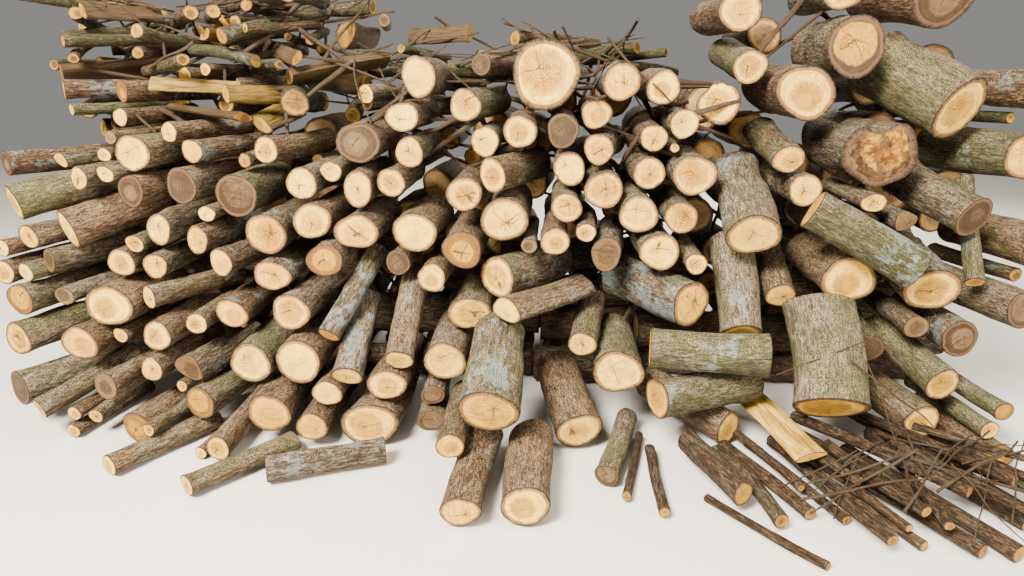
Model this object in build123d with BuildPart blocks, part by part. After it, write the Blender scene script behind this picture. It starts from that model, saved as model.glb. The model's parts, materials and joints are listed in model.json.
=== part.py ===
from build123d import *
import math
import os
import random

import numpy as np

# A loose stack of sawn firewood. X runs along the stack, Y into it, Z up.
# The face that is looked at leans back, and each log is let down onto those below it,
# from the lowest to the highest, until a hair's breadth is left between them.

# Driving dimensions, in millimetres
LOG_LENGTH = 330.0        # the length that the logs are sawn to
SAW_SPREAD = 14.0         # how much longer or shorter a sawn log may be
FACE_LEAN = 0.30          # how far the face goes back for each unit of height
STACK_DEPTH = 1080.0      # from the foot of the face to the back of the stack
BACK_LEAN = 0.08          # how far the back comes forward for each unit of height
STACK_LEFT = -1790.0      # left end of the stack
STACK_RIGHT = 1420.0      # right end of the stack
BACK_HEIGHT = 1230.0      # height of the back rank
BACK_DROP = 270.0         # how much lower it is under the heap
BACK_RISE = 130.0         # how much higher it is behind the thick logs at the right
LAY_GAP = 0.3             # what is left between a log and the one that carries it
RANK_GAP = 12.0           # between the ends of one rank and the next
BACK_THIN = 125.0         # the thinnest and the thickest logs of the back ranks
BACK_THICK = 235.0
END_SIDES = 12            # flats round a log that shows
BACK_SIDES = 8            # flats round a log at the back
BRANCH_SIDES = 6          # flats round a thin branch
REACH = 260.0             # how far above or below its place a rest is looked for
CM = 10.0                 # the lists of ends below are in centimetres
MOST_RISE = 75.0          # a log of the face that others keep this far above its place is left out
THICK_LOG = 115.0         # unless it is this thick

chance = random.Random(41)


class Log:
    """A convex sawn piece: its front end's centre, its section, its heading and its length."""

    def __init__(self, centre, section, turn=0.0, dip=0.0, length=LOG_LENGTH, look="pale"):
        turn, dip = math.radians(turn), math.radians(dip)
        self.outline_of_end = section
        self.section, self.length, self.look = hull(section), length, look
        self.axis = np.array([math.sin(turn) * math.cos(dip), math.cos(turn) * math.cos(dip), math.sin(dip)])
        self.across = np.array([math.cos(turn), -math.sin(turn), 0.0])
        self.up = np.cross(self.across, self.axis)
        self.place(np.array(centre, dtype=float))

    def place(self, centre):
        """Puts the front end's centre at a point, and works out corners, faces and outline."""
        self.centre = centre
        rim = np.array([x * self.across + z * self.up for x, z in self.section])
        front = centre + rim
        self.corners = np.vstack([front, front + self.length * self.axis])
        sides = np.roll(rim, -1, axis=0) - rim
        sides /= np.linalg.norm(sides, axis=1)[:, None]
        self.edges = np.vstack([self.axis, sides])
        flats = np.cross(sides, self.axis)
        flats *= np.sign((flats * (rim - rim.mean(axis=0))).sum(axis=1))[:, None]
        self.faces = np.vstack([flats, self.axis, -self.axis])
        self.outline = plan_normals(self.corners)
        self.low, self.high = self.corners.min(axis=0), self.corners.max(axis=0)

    def moved(self, by):
        copy = Log.__new__(Log)
        copy.__dict__.update(self.__dict__)
        copy.place(self.centre + by)
        return copy


def half_hull(run):
    chain = []
    for p in run:
        while len(chain) > 1 and turn_of(chain[-2], chain[-1], p) <= 1e-9:
            chain.pop()
        chain.append(p)
    return chain[:-1]


def hull(points):
    """The corners of the outline that encloses flat points, counterclockwise."""
    points = sorted(points)
    return half_hull(points) + half_hull(reversed(points))


def plan_normals(corners):
    """The outward normals of the outline that a log shows from above."""
    ring = hull({(round(x, 6), round(y, 6)) for x, y, z in corners})
    normals = []
    for (x0, y0), (x1, y1) in zip(ring, ring[1:] + ring[:1]):
        size = math.hypot(x1 - x0, y1 - y0)
        normals.append(((y1 - y0) / size, (x0 - x1) / size, 0.0))
    return np.array(normals)


def turn_of(a, b, c):
    return (b[0] - a[0]) * (c[1] - a[1]) - (b[1] - a[1]) * (c[0] - a[0])


def meeting_ways(a, b):
    """Every direction in which log a can come to rest on log b."""
    crossed = np.cross(a.edges[:, None], b.edges[None]).reshape(-1, 3)
    size = np.linalg.norm(crossed, axis=1)
    crossed = crossed[size > 1e-4] / size[size > 1e-4][:, None]
    return np.vstack([b.faces, -a.faces, crossed, -crossed, -a.outline, b.outline])


def near(log, laid, slides, reach=math.inf):
    """The laid logs that this one could meet on its way up or down at any of the slides."""
    for other in laid:
        if other.low[2] > log.high[2] + reach or other.high[2] < log.low[2] - reach:
            continue
        if other.low[1] > log.high[1] + LAY_GAP or other.high[1] < log.low[1] - LAY_GAP:
            continue
        past_right = other.low[0] > log.high[0] + slides.max() + LAY_GAP
        if past_right or other.high[0] < log.low[0] + slides.min() - LAY_GAP:
            continue
        yield other


def blocked(log, other, slides):
    """From what rise to what rise the log would cut into another, for each slide along X."""
    ways = meeting_ways(log, other)
    apart = (log.corners @ ways.T).min(axis=0) - (other.corners @ ways.T).max(axis=0)
    apart = LAY_GAP - apart[None, :] - slides[:, None] * ways[None, :, 0]
    rise = ways[:, 2]
    level, upward, downward = np.abs(rise) <= 1e-5, rise > 1e-5, rise < -1e-5
    above = (apart[:, upward] / rise[upward]).min(axis=1)
    below = (apart[:, downward] / rise[downward]).max(axis=1)
    beside = (apart[:, level] <= 0).any(axis=1)
    return np.where(beside, -np.inf, below), np.where(beside, -np.inf, above)


def rest_heights(log, laid, slides):
    """How far the log rises or sinks to lie on the highest thing below it, for each slide along X."""
    heights = np.full(len(slides), -log.low[2])
    for other in near(log, laid, slides):
        heights = np.maximum(heights, blocked(log, other, slides)[1])
    return heights


def nearest_rests(log, laid, slides):
    """How far the log moves to the nearest height at which something carries it, for each slide."""
    below, above = [np.full(len(slides), -np.inf)], [np.full(len(slides), -log.low[2])]
    for other in near(log, laid, slides, REACH):
        lower, upper = blocked(log, other, slides)
        below.append(lower)
        above.append(upper)
    below, above = np.array(below), np.array(above)
    cut = (above[:, None] > below[None] + 1e-6) & (above[:, None] < above[None] - 1e-6)
    rests = np.where(cut.any(axis=1) | np.isinf(above) | (np.abs(above) > REACH), np.inf, above)
    return rests[np.abs(rests).argmin(axis=0), np.arange(len(slides))]


def round_section(wide, high, sides=END_SIDES, roll=0.0):
    """An oval end, never quite even, turned by its roll: a little egg-shaped, three-cornered and rough."""
    roll, start = math.radians(roll), chance.uniform(0, math.tau)
    egg, three = chance.uniform(0, 0.035), chance.uniform(0, 0.035)
    egg_turn, three_turn = chance.uniform(0, math.tau), chance.uniform(0, math.tau)
    points = []
    for k in range(sides):
        angle = start + k * math.tau / sides
        reach = 1 + egg * math.cos(angle - egg_turn) + three * math.cos(3 * angle - three_turn)
        reach += chance.uniform(-0.03, 0.03)
        x, z = reach * wide / 2 * math.cos(angle), reach * high / 2 * math.sin(angle)
        points.append((x * math.cos(roll) - z * math.sin(roll), x * math.sin(roll) + z * math.cos(roll)))
    return points


def split_section(wide, high, roll=0.0):
    """A wedge, as an axe leaves it: two split sides and a few flats of bark."""
    outline = ((-0.50, -0.30), (-0.22, -0.47), (0.16, -0.50), (0.44, -0.33), (0.50, -0.12), (-0.05, 0.50))
    roll = math.radians(roll)
    points = []
    for x, z in outline:
        x, z = x * wide, z * high
        points.append((x * math.cos(roll) - z * math.sin(roll), x * math.sin(roll) + z * math.cos(roll)))
    return points


def drawn_section(outline, wide, high):
    """An end with a shape of its own, drawn in shares of its width and height."""
    return [(x * wide, z * high) for x, z in outline]


def face_depth(z):
    return FACE_LEAN * max(z, 0.0)


def sawn_length():
    return LOG_LENGTH + chance.uniform(-SAW_SPREAD, SAW_SPREAD)


def end(x, z, wide, high, turn=0, dip=0, look="pale", proud=0, roll=0, cut="round", spare=False, long=0):
    """One log of the face, by the centre and the size of the end that shows, in centimetres."""
    return dict(x=x * CM, z=z * CM, wide=wide * CM, high=high * CM, turn=turn, dip=dip,
                look=look, proud=proud * CM, roll=roll, cut=cut, spare=spare, long=long * CM,
                most_rise=MOST_RISE if wide * CM < THICK_LOG else math.inf)


def laying_order(seen):
    """Logs are laid from the lowest up, thick ones before thin ones beside them.
    One that leans back waits for what its back end lies on.
    """
    climb = 0.8 * LOG_LENGTH * math.sin(math.radians(max(seen["dip"], 0)))
    return seen["z"] - 0.75 * seen["high"] + climb


# Ends that show at the foot of the face
FOOT = [
    end(-7.5, 7.5, 15.8, 13, turn=-12, dip=6, proud=36, roll=20),
    end(-22.5, 5.6, 13, 10, turn=4, dip=5, proud=37, roll=12),
    end(-79, 4.6, 7.4, 9, turn=68, look="grey", proud=20, spare=True),
    end(-24, 17, 11, 10, turn=3, dip=48, proud=26, look="mossy"),
    end(-15, 23, 18.5, 16, turn=2, dip=38, proud=24, look="lichen"),
    end(8.1, 8, 16, 13.5, turn=-14, dip=14, look="pale"),
    end(55, 6.5, 11, 13, turn=-52, dip=6, look="lichen"),
    end(-126.5, 5.6, 11.4, 11.4, turn=12, look="orange", proud=3),
    end(-95.5, 9, 9.5, 12, turn=-6, dip=6, proud=14),
    end(-98, 3.4, 9, 6.4, turn=78, look="mossy", proud=27, spare=True),
    end(-118.3, 3, 4.6, 4.6, turn=10, proud=9),
    end(-109, 3, 4.4, 4.4, turn=4, proud=9),
    end(-127, 3.6, 9, 7, turn=30, dip=0, look="lichen", proud=19),
    end(-149, 9, 5.5, 5.5, turn=8), end(-149.6, 4.6, 6, 5, turn=10),
    end(-143, 7.5, 5.4, 5.4, turn=16, dip=18),
    end(-136.6, 17.4, 9.8, 11.2, turn=12, look="grey"),
    end(-107.9, 10.6, 11.4, 12, turn=10, look="orange"),
    end(-83.5, 11, 15.7, 15), end(-68.4, 14.8, 11.3, 8.6, roll=-6), end(-73.3, 7.4, 11.6, 9.8),
    end(-55.3, 7.4, 21, 15, roll=14), end(-49.8, 15.6, 14.2, 10.6),
    end(-36.2, 16, 9, 7.5, turn=8, dip=-22, look="brown", roll=18),
    end(-42, 9, 12, 9, turn=-6, look="brown", spare=True),
    end(77, 12, 23, 20, turn=4, dip=46, look="lichen", proud=6),
    end(20, 3.8, 8, 7, turn=20, dip=4, look="brown", proud=16, spare=True),
]

# Branch wood on the ground in front of the right part, by the end that points at the viewer
GROUND = [
    end(89, 2.5, 4.5, 4, turn=-30, proud=11, long=42),
    end(90.5, 2, 4, 3.4, turn=-34, proud=28, long=46),
    end(95, 2, 4, 3.6, turn=-26, proud=34, long=52),
    end(86, 1.8, 3.4, 3, turn=-28, proud=35, long=44),
    end(101.5, 3, 5.6, 5, turn=-32, proud=39, long=55),
    end(109, 3.5, 6.4, 5.8, turn=-27, proud=40, long=50),
    end(80, 2.4, 4.6, 4, turn=-36, proud=40, long=48),
    end(93.5, 7, 4, 3.6, turn=-38, proud=38, long=45),
    end(66, 2.7, 5.4, 5, turn=-24, proud=27, long=36),
    end(74.5, 2, 4, 3.6, turn=-30, proud=28, long=40),
    end(79.6, 6, 4, 3.4, turn=-33, proud=22, long=26),
    end(61, 2, 3.6, 3.6, turn=-20, proud=18, long=30),
    end(58.5, 3, 5.8, 5.4, turn=-16, proud=32, long=34),
    end(64, 2, 3.4, 3, turn=-42, proud=42, long=34),
    end(109, 8, 6, 4, turn=-30, proud=17, long=46),
    end(118, 3, 5, 4.6, turn=-25, proud=28, long=48),
    end(126, 3, 5.4, 5, turn=-22, proud=34, long=50),
    end(117, 9, 4.6, 4.2, turn=-36, proud=24, long=44),
    end(102, 9, 5, 4.6, turn=-40, proud=30, long=48),
    end(86, 8, 4.6, 4, turn=-22, proud=36, long=33),
    end(20, 2.4, 3.4, 4.6, turn=12, proud=22, long=33),
    end(26, 2.3, 4.4, 4.4, turn=-18, proud=29, long=31),
    end(71, 9, 18, 5, turn=-52, dip=8, proud=16, cut="split", roll=10, long=44),
    end(50.3, 6, 8, 11, turn=-26, dip=6, proud=27, roll=10, long=25),
]

# Ends of the left part, from the foot up
LEFT = [
    end(-160, 10, 12, 12, turn=34, dip=16, look="mossy"),
    end(-169, 15, 13, 13, turn=30, look="brown"),
    end(-117.4, 18.7, 4.4, 4.4, turn=8), end(-124.5, 21.8, 9, 9.6, turn=8),
    end(-111, 22, 14, 11, turn=24, look="grey", cut="split", roll=-24),
    end(-121.7, 28.6, 11.4, 12, turn=6, roll=-12), end(-109.2, 35.6, 8, 7.8, roll=-30),
    end(-136.4, 33.4, 17.6, 15, turn=4), end(-147, 28.6, 15, 12.4, turn=10),
    end(-136.5, 40.4, 7.6, 6.6, turn=12, roll=-24),
    end(-124.1, 38.6, 8, 8.2, turn=30, look="mossy", roll=-30),
    end(-113.5, 44.7, 10.4, 12, turn=4), end(-100.7, 40.8, 12.4, 9.6, roll=-22),
    end(-166.8, 42, 13, 11, turn=16, look="orange"), end(-164.3, 47.4, 8, 6.4, turn=18, roll=-28),
    end(-155.7, 42.6, 8, 6.4, turn=8, look="grey", roll=-10),
    end(-159, 53, 7, 9, turn=26, look="grey"),
    end(-158, 35, 11, 10, turn=38, look="brown", spare=True),
    end(-168, 30, 14, 12, turn=40, look="mossy", spare=True),
    end(-173, 51, 9, 9, turn=10), end(-146, 45, 8, 9, turn=20, look="brown", spare=True),
    end(-167.3, 58.3, 12.4, 8.4, turn=20, roll=-12), end(-172, 54, 7, 6, turn=14),
    end(-153.5, 62.5, 11, 14, turn=34, dip=12, look="mossy", roll=24),
    end(-168.5, 69.5, 10, 13, turn=36, dip=10, look="mossy", roll=24),
    end(-137.7, 54, 10.2, 9.8), end(-130.8, 55.4, 7.2, 5.6, look="mossy", roll=-26),
    end(-123, 52, 9.4, 10),
    end(-141.9, 64.8, 9.8, 8, turn=10, roll=-24), end(-124.4, 61.9, 10, 12, turn=4),
    end(-112.2, 60.5, 8.6, 10.4, turn=12, look="lichen"), end(-104.5, 53.6, 8.8, 10, turn=10),
    end(-133.3, 69.8, 11, 11.4, turn=14, look="brown"),
    end(-128.5, 73.8, 14.2, 12, turn=8, look="mossy"),
    end(-150.9, 72.3, 8, 8.8, turn=14), end(-143.3, 72.4, 8, 6, turn=12, roll=-22),
    end(-162.3, 73.3, 8, 8.4, turn=16, look="mossy"), end(-158.8, 78.2, 8.4, 9, turn=14),
    end(-143.6, 77.4, 7, 7.2, turn=12), end(-151.5, 79.4, 8, 6, turn=16, roll=-30, cut="split"),
    end(-142.2, 82.2, 5.4, 4.6, roll=-30, look="mossy"),
    end(-148, 82, 5, 4.6, look="brown", spare=True),
    end(-171.5, 82, 7, 9, turn=30, look="brown"),
    end(-130, 82, 11.4, 7.6, turn=10, roll=-14, look="mossy"),
    end(-115.7, 76, 13.4, 14.2, turn=16, look="brown"),
    end(-107.2, 74.5, 8, 9, turn=12, cut="split", roll=90),
    end(-104.4, 67.6, 6.6, 5.4, turn=24, look="mossy"),
    end(-125.2, 92, 7.6, 7.2, turn=20, look="lichen"),
    end(-111.5, 87.8, 9.4, 8.2, turn=18, look="lichen"), end(-136, 90, 5, 5, turn=44, look="grey"),
]

# Ends left of the middle
MIDDLE_LEFT = [
    end(-92.5, 25, 15.4, 16.6), end(-74.4, 25, 15.2, 16.8),
    end(-68.8, 33.4, 9, 8, turn=24, dip=40, look="lichen"),
    end(-79.7, 37.3, 14.6, 13.2), end(-57.2, 22.3, 10.4, 9.4, dip=30, look="lichen", proud=3),
    end(-45.7, 23, 10.8, 9.4, dip=30, look="lichen", proud=3), end(-32.5, 25, 15.2, 13.2),
    end(-41.9, 36, 10.8, 8.6, dip=14, look="lichen"),
    end(-26.5, 37.8, 16.6, 12, look="mossy"), end(-86.2, 50.4, 13.4, 10.6),
    end(-70.4, 55, 13.2, 11.8, look="orange"),
    end(-40.8, 50.4, 10.6, 11), end(-29.1, 56.6, 14.2, 14, look="orange"), end(-94, 61.8, 14.8, 14),
    end(-60.2, 61, 15.6, 11.8), end(-74, 66.3, 15.6, 12.6, roll=16),
    end(-43.1, 63.4, 16, 13.2, look="mossy"),
    end(-91.8, 72.8, 15.2, 14.2, look="brown"), end(-60, 74.4, 10.6, 13.4),
    end(-77.4, 77, 11.4, 10.8, look="lichen"),
    end(-68.3, 80.8, 8.2, 7.6, roll=-30, look="mossy"), end(-60.1, 88.4, 16.2, 13, look="brown"),
    end(-88.8, 87, 9.6, 9.6, turn=62, look="mossy"), end(-48.7, 77.8, 10, 10),
    end(-31.3, 74.6, 12.6, 11.4),
    end(-24.4, 77.8, 9.6, 12, turn=22, look="mossy", proud=3, roll=10), end(-39.7, 86.6, 10, 10.4),
    end(-27.8, 90.4, 9.6, 10.4, roll=-20), end(-46.7, 95.7, 12.4, 10.8), end(-41, 108, 12, 13.8),
    end(-28.1, 101.2, 11.6, 10.8, turn=12),
    end(-49.5, 54, 9, 9, look="brown", proud=-6, spare=True),
]

# Ends right of the middle
MIDDLE_RIGHT = [
    end(9.5, 32.4, 11, 9, turn=30, dip=28, look="mossy"), end(21.2, 25, 16.8, 15),
    end(-17.9, 67, 16.2, 14.8),
    end(-8.1, 62.2, 8, 7.4, look="grey", roll=-20), end(-0.2, 60.2, 9.8, 9.6),
    end(8.8, 64.6, 7.4, 6.4, proud=2),
    end(16.1, 59.6, 10, 12.4, turn=26, look="grey"), end(30.3, 58.5, 13.2, 12.8, look="mossy"),
    end(41, 53, 7.4, 7.4), end(3.1, 70.2, 11.2, 10.4), end(13.1, 73.8, 12.8, 12.6),
    end(25.3, 69.4, 12.6, 13),
    end(37.7, 68.8, 11.4, 10.4), end(-10, 78.2, 10.4, 11, look="lichen"),
    end(2.3, 81.2, 10.4, 11.6, roll=14),
    end(11.1, 84.8, 10.4, 10.4, turn=12, look="mossy"), end(29.3, 80.2, 11.4, 10.8),
    end(45.4, 80, 19, 16.8, roll=14),
    end(28, 86.6, 3.4, 3.4, turn=6, look="mossy"), end(-16.3, 93, 12, 10.6),
    end(1.3, 92.8, 10.6, 11.4, look="brown"),
    end(11, 95.2, 10.6, 10), end(22.4, 91.2, 9.8, 9.8), end(32.9, 91.8, 9.8, 9.8, roll=20),
    end(15.9, 106.8, 13.8, 13.4, look="lichen"), end(29.4, 106.4, 11.8, 12),
    end(52, 110, 12.6, 11.2, dip=8, look="mossy"),
    end(-27, 112, 7, 7, turn=12, look="brown", proud=-6),
    end(46, 127, 15, 13, turn=-4, look="pale"),
]

# Ends of the right part
RIGHT = [
    end(56.4, 60.6, 18.6, 15.4, dip=26, look="lichen"),
    end(64.8, 45.4, 10.8, 9.8, dip=32, look="mossy"),
    end(50, 38, 15, 14, dip=44, look="lichen"), end(85.6, 49.2, 18.8, 15, look="mossy"),
    end(107.7, 49.6, 18.6, 15.2, dip=12, look="lichen"), end(103.8, 40.2, 8.4, 7.2, look="grey"),
    end(63.4, 80.6, 11.8, 9.2, look="mossy", dip=10, roll=10), end(71.8, 77.8, 10.6, 11.6),
    end(70.6, 99, 21.4, 17.6, roll=-14, look="mossy"), end(90.5, 70.6, 9, 6, look="pale"),
    end(97.5, 69.4, 9, 8.4, look="grey", cut="split", roll=30),
    end(110, 73.4, 10.6, 10, turn=-34, dip=24, look="mossy"),
    end(123.2, 70, 12.6, 15.6, turn=-30, dip=26, look="brown", roll=-20),
    end(120.5, 36.5, 11.4, 12, look="brown"), end(131, 19, 7, 6.4, turn=-10, look="orange"),
    end(125, 11.6, 7, 6, turn=-10), end(127, 3.6, 12, 9, turn=-8, look="orange"),
    end(118.4, 53, 6, 7, turn=10, dip=50, look="mossy"), end(81, 130, 15, 13, look="pale"),
    end(109, 131, 24, 22, turn=-14, dip=6, look="brown"),
    end(134, 45, 14, 13, turn=-20, look="brown", spare=True),
    end(138, 62, 15, 14, turn=-12, look="mossy", spare=True),
    end(133, 88, 18, 16, turn=-16, look="mossy", spare=True),
    end(137, 106, 14, 13, turn=-14, look="brown", spare=True),
    end(95, 30, 12, 11, dip=10, look="brown", proud=-10, spare=True),
    end(106, 28, 11, 11, dip=14, look="mossy", spare=True),
    end(115, 26, 12, 12, turn=-12, dip=12, look="mossy", spare=True),
    end(108, 12, 14, 13, turn=-10, look="mossy", proud=-4, spare=True),
    end(90, 62, 14, 12, turn=-10, look="brown", proud=-8, spare=True),
]

# Logs that lie along the face, by the middle of the end that shows
CROSSWISE = [
    end(60, 26, 13, 14, turn=-84, look="lichen", proud=4),
    end(40, 43.6, 16.6, 17, turn=-68, look="mossy", proud=3),
    end(-12, 50, 15, 16, turn=64, dip=-4, look="brown", proud=3),
    end(102, 57, 13, 13.4, turn=-76, dip=28, look="mossy", proud=4),
    end(-14, 36, 15, 11, turn=40, look="orange", cut="split", proud=6),
    end(30, 12, 14, 13, turn=66, look="lichen", proud=2),
]

# Ends that show in the loose heap behind the left part
HEAP = [
    end(-120.3, 128, 8.9, 8.4, turn=6, look="orange", proud=-35, spare=True),
    end(-142, 104, 8.8, 8.6, turn=32, look="orange", proud=-12),
    end(-125.1, 108, 6.6, 6.2, turn=14, proud=-18, spare=True),
    end(-119, 109, 5.3, 5, turn=18, proud=-20, spare=True),
    end(-163, 104, 7.9, 7.4, turn=52, look="lichen", proud=-14),
    end(-170, 110, 15, 8, turn=50, dip=6, look="split", proud=-20, roll=20, cut="split"),
    end(-138.1, 97, 6.9, 6.6, turn=12, proud=-5),
    end(-158.4, 98, 4.8, 4.8, turn=36, look="mossy", proud=-8),
    end(-150, 121, 4.9, 4.7, turn=66, look="mossy", proud=-30, spare=True),
    end(-164, 126, 9, 8.4, turn=58, look="mossy", proud=-38, spare=True),
    end(-75.7, 122, 13, 10, turn=34, dip=14, look="split", proud=-32, roll=60, cut="split"),
    end(-88, 107, 17, 8, turn=58, dip=10, look="split", proud=-16, roll=12, cut="split"),
    end(-62.6, 126, 5, 5, turn=-24, look="grey", proud=-38, spare=True),
    end(-63.8, 103, 6.9, 6.6, turn=18, proud=-10),
   
    end(-98, 97, 11, 4.5, turn=-64, dip=4, look="split", proud=-4, roll=-10, cut="split", spare=True),
]

# The butts that stand out among the rest, each a piece by itself
BIGGEST = end(-3.8, 108.4, 23.4, 22.4)
HEART = end(40.5, 100.6, 15.6, 16.4, turn=16)
BURR = end(92.3, 84, 26.8, 20.4, look="orange")
ORANGE_BUTT = end(85.4, 116, 17.5, 20.4, turn=-28, look="orange")
SLANTED_BUTT = end(116.3, 99.4, 19, 24, turn=-24, dip=22, look="mossy", roll=-24)

# The ends that are nowhere near round, in shares of their width and height
HEART_END = (
    (-0.42, 0.16), (-0.50, -0.02), (-0.44, -0.22), (-0.24, -0.42), (0.02, -0.50),
    (0.28, -0.44), (0.46, -0.22), (0.50, 0.04), (0.40, 0.26), (0.26, 0.40),
    (0.14, 0.33), (0.04, 0.50), (-0.08, 0.40), (-0.20, 0.47), (-0.24, 0.28),
)
BURR_END = (
    (-0.06, 0.26), (-0.16, 0.42), (-0.32, 0.46), (-0.46, 0.30), (-0.50, 0.02),
    (-0.44, -0.26), (-0.28, -0.44), (-0.04, -0.50), (0.22, -0.46), (0.42, -0.30),
    (0.50, -0.04), (0.48, 0.22), (0.36, 0.42), (0.18, 0.50), (0.04, 0.40),
)
DRAWN_ENDS = dict(heart_log=HEART_END, burr_log=BURR_END)

SLIDES = np.arange(-60.0, 61.0, 6.0)      # places tried to the left and right of where an end shows
PUSHES = (0.0, 35.0, -30.0, 70.0)         # and further back or forward than it was read
GIRTHS = (1.0, 1.03, 0.97, 0.94, 0.91, 0.88, 0.84, 0.80, 0.75, 0.70)   # how thick, against how it was read
EASES = (1.0, 0.75, 0.5, 0.25, 0.0)       # how much of its turn and dip a log keeps
GIRTH_COST = 130.0                        # what each change counts for, against a millimetre of rise
EASE_COST = 22.0
SLIDE_COST = 0.45
PUSH_COST = 0.3
SPARE_RISE = 30.0                         # a filler that would lie further off than this is left out
SINK = 26.0                               # a log that would sink further than this is wedged up
WEDGES = (44.0, 60.0, 78.0)               # girths of the thin logs that wedge others up
COURSE = 100.0                            # height of the layers in which the ranks are filled
SEARCH_STEP = 20.0                        # spacing of the places tried along a rank
NARROWEST_GAP = 130.0                     # no log goes crosswise between two ranks nearer than this


def face_log(seen, section, girth, ease, push):
    centre = (seen["x"], face_depth(seen["z"]) - seen["proud"] + push, seen["z"])
    section = [(girth * x, girth * z) for x, z in section]
    return Log(centre, section, ease * seen["turn"], ease * seen["dip"], seen["length"], seen["look"])


def ways_to_lie(seen):
    """Every girth, heading and depth to try for a log, those nearest to how it was read first."""
    eases = EASES if abs(seen["turn"]) > 6 or abs(seen["dip"]) > 3 else (1.0,)
    ways = []
    for girth in GIRTHS:
        for ease in eases:
            for push in PUSHES:
                price = GIRTH_COST * abs(girth - 1) + EASE_COST * (1 - ease) + PUSH_COST * abs(push)
                ways.append((price, girth, ease, push))
    return sorted(ways)


def best_rest(seen, section, laid):
    """The log where it comes to rest nearest to the place at which it shows, and how far off that is."""
    best, least, fall = None, math.inf, 0.0
    for price, girth, ease, push in ways_to_lie(seen):
        if price >= least:
            break
        log = face_log(seen, section, girth, ease, push)
        rise = nearest_rests(log, laid, SLIDES)
        cost = price + np.abs(rise) + SLIDE_COST * np.abs(SLIDES)
        k = int(cost.argmin())
        if cost[k] < least:
            best, least, fall = log.moved((SLIDES[k], 0, rise[k])), cost[k], rise[k]
    return best, fall


def wedge_log(seen, laid, thick):
    """A thin log that lies lower down and further back than the one it holds up."""
    centre = (seen["x"] + chance.uniform(-25, 25), face_depth(seen["z"]) + chance.uniform(30, 110), 0)
    turn = seen["turn"] + chance.uniform(-12, 12)
    wedge = Log(centre, round_section(thick, thick, BACK_SIDES), turn, 0, sawn_length(), "wedge")
    return wedge.moved((0, 0, rest_heights(wedge, laid, np.zeros(1))[0]))


def lay_face_log(seen, laid):
    """Lays one log of the face, with a thin log under it where it would sink too far."""
    chance.seed(seen["x"] * 1000 + seen["z"])
    seen = dict(seen, length=seen["long"] or sawn_length())
    if seen["cut"] == "split":
        section = split_section(seen["wide"], seen["high"], seen["roll"])
    elif seen["look"] in DRAWN_ENDS:
        section = drawn_section(DRAWN_ENDS[seen["look"]], seen["wide"], seen["high"])
    else:
        sides = BRANCH_SIDES if seen["look"] == "foot_branch" else END_SIDES
        section = round_section(seen["wide"], seen["high"], sides, seen["roll"])
    best, fall = best_rest(seen, section, laid)
    if fall > (SPARE_RISE if seen["spare"] else seen["most_rise"]):
        return
    wedged = None
    if fall < -SINK:
        for thick in WEDGES:
            wedge = wedge_log(seen, laid, thick)
            raised, sink = best_rest(seen, section, laid + [wedge])
            if abs(sink) < abs(fall) - 8:
                best, fall, wedged = raised, sink, wedge
    if wedged:
        laid.append(wedged)
    laid.append(best)


def lowest_place(log, laid, left, right, ceiling):
    """The log at the lowest place for it between two ends of a rank, or None if it would stand too high."""
    slides = np.arange(left, right, SEARCH_STEP) + chance.uniform(0, SEARCH_STEP)
    if len(slides) == 0:
        return None
    rest = rest_heights(log, laid, slides)
    room = np.array([ceiling(x) for x in slides]) - rest - log.high[2]
    rest = np.where(room >= 0, rest, np.inf)
    k = int(rest.argmin())
    return None if math.isinf(rest[k]) else log.moved((slides[k], 0, rest[k]))


def back_depth(z):
    return STACK_DEPTH - BACK_LEAN * z


def back_ceiling(x):
    """The height of the back rank, lower under the heap and higher behind the thick logs."""
    end_near = min(x - STACK_LEFT, STACK_RIGHT - x)
    under_heap = min(max((150 - x) / 500, 0.0), 1.0)
    behind_thick = min(max((x - 300) / 250, 0.0), 1.0)
    end_fall = 220 * max(0.0, 1 - end_near / 500) ** 2
    return BACK_HEIGHT - BACK_DROP * under_heap + BACK_RISE * behind_thick - end_fall


def fill_back(laid, level):
    """Fills the back rank up to a level, with its logs square to the back of the stack."""
    misses = 0
    while misses < 3:
        wide = chance.triangular(BACK_THIN, BACK_THICK, 165)
        length = sawn_length()
        y = back_depth(level - COURSE) - length + chance.uniform(-14, 0)
        section = round_section(wide, wide * chance.uniform(0.86, 1.0), BACK_SIDES, chance.uniform(0, 180))
        log = Log((0, y, 0), section, chance.gauss(0, 3), 0, length, "back")
        placed = lowest_place(log, laid, STACK_LEFT + wide / 2, STACK_RIGHT - wide / 2,
                              lambda x: min(level, back_ceiling(x)))
        if placed:
            laid.append(placed)
        else:
            misses += 1


def fill_between(laid, level):
    """Fills the gap between the ranks up to a level, with logs that lie along the stack."""
    front = face_depth(level) + LOG_LENGTH + SAW_SPREAD + RANK_GAP
    back = back_depth(level) - LOG_LENGTH - SAW_SPREAD - RANK_GAP
    if back - front < NARROWEST_GAP:
        return
    misses = 0
    while misses < 3:
        wide = min(chance.uniform(120, 190), back - front - 10)
        y = chance.uniform(front + wide / 2, back - wide / 2)
        section = round_section(wide, wide * chance.uniform(0.86, 1.0), BACK_SIDES)
        log = Log((0, y, 0), section, 90 + chance.gauss(0, 2), 0, sawn_length(), "between")
        placed = lowest_place(log, laid, STACK_LEFT + 20, STACK_RIGHT - LOG_LENGTH - 40, lambda x: level)
        if placed:
            laid.append(placed)
        else:
            misses += 1


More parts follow.
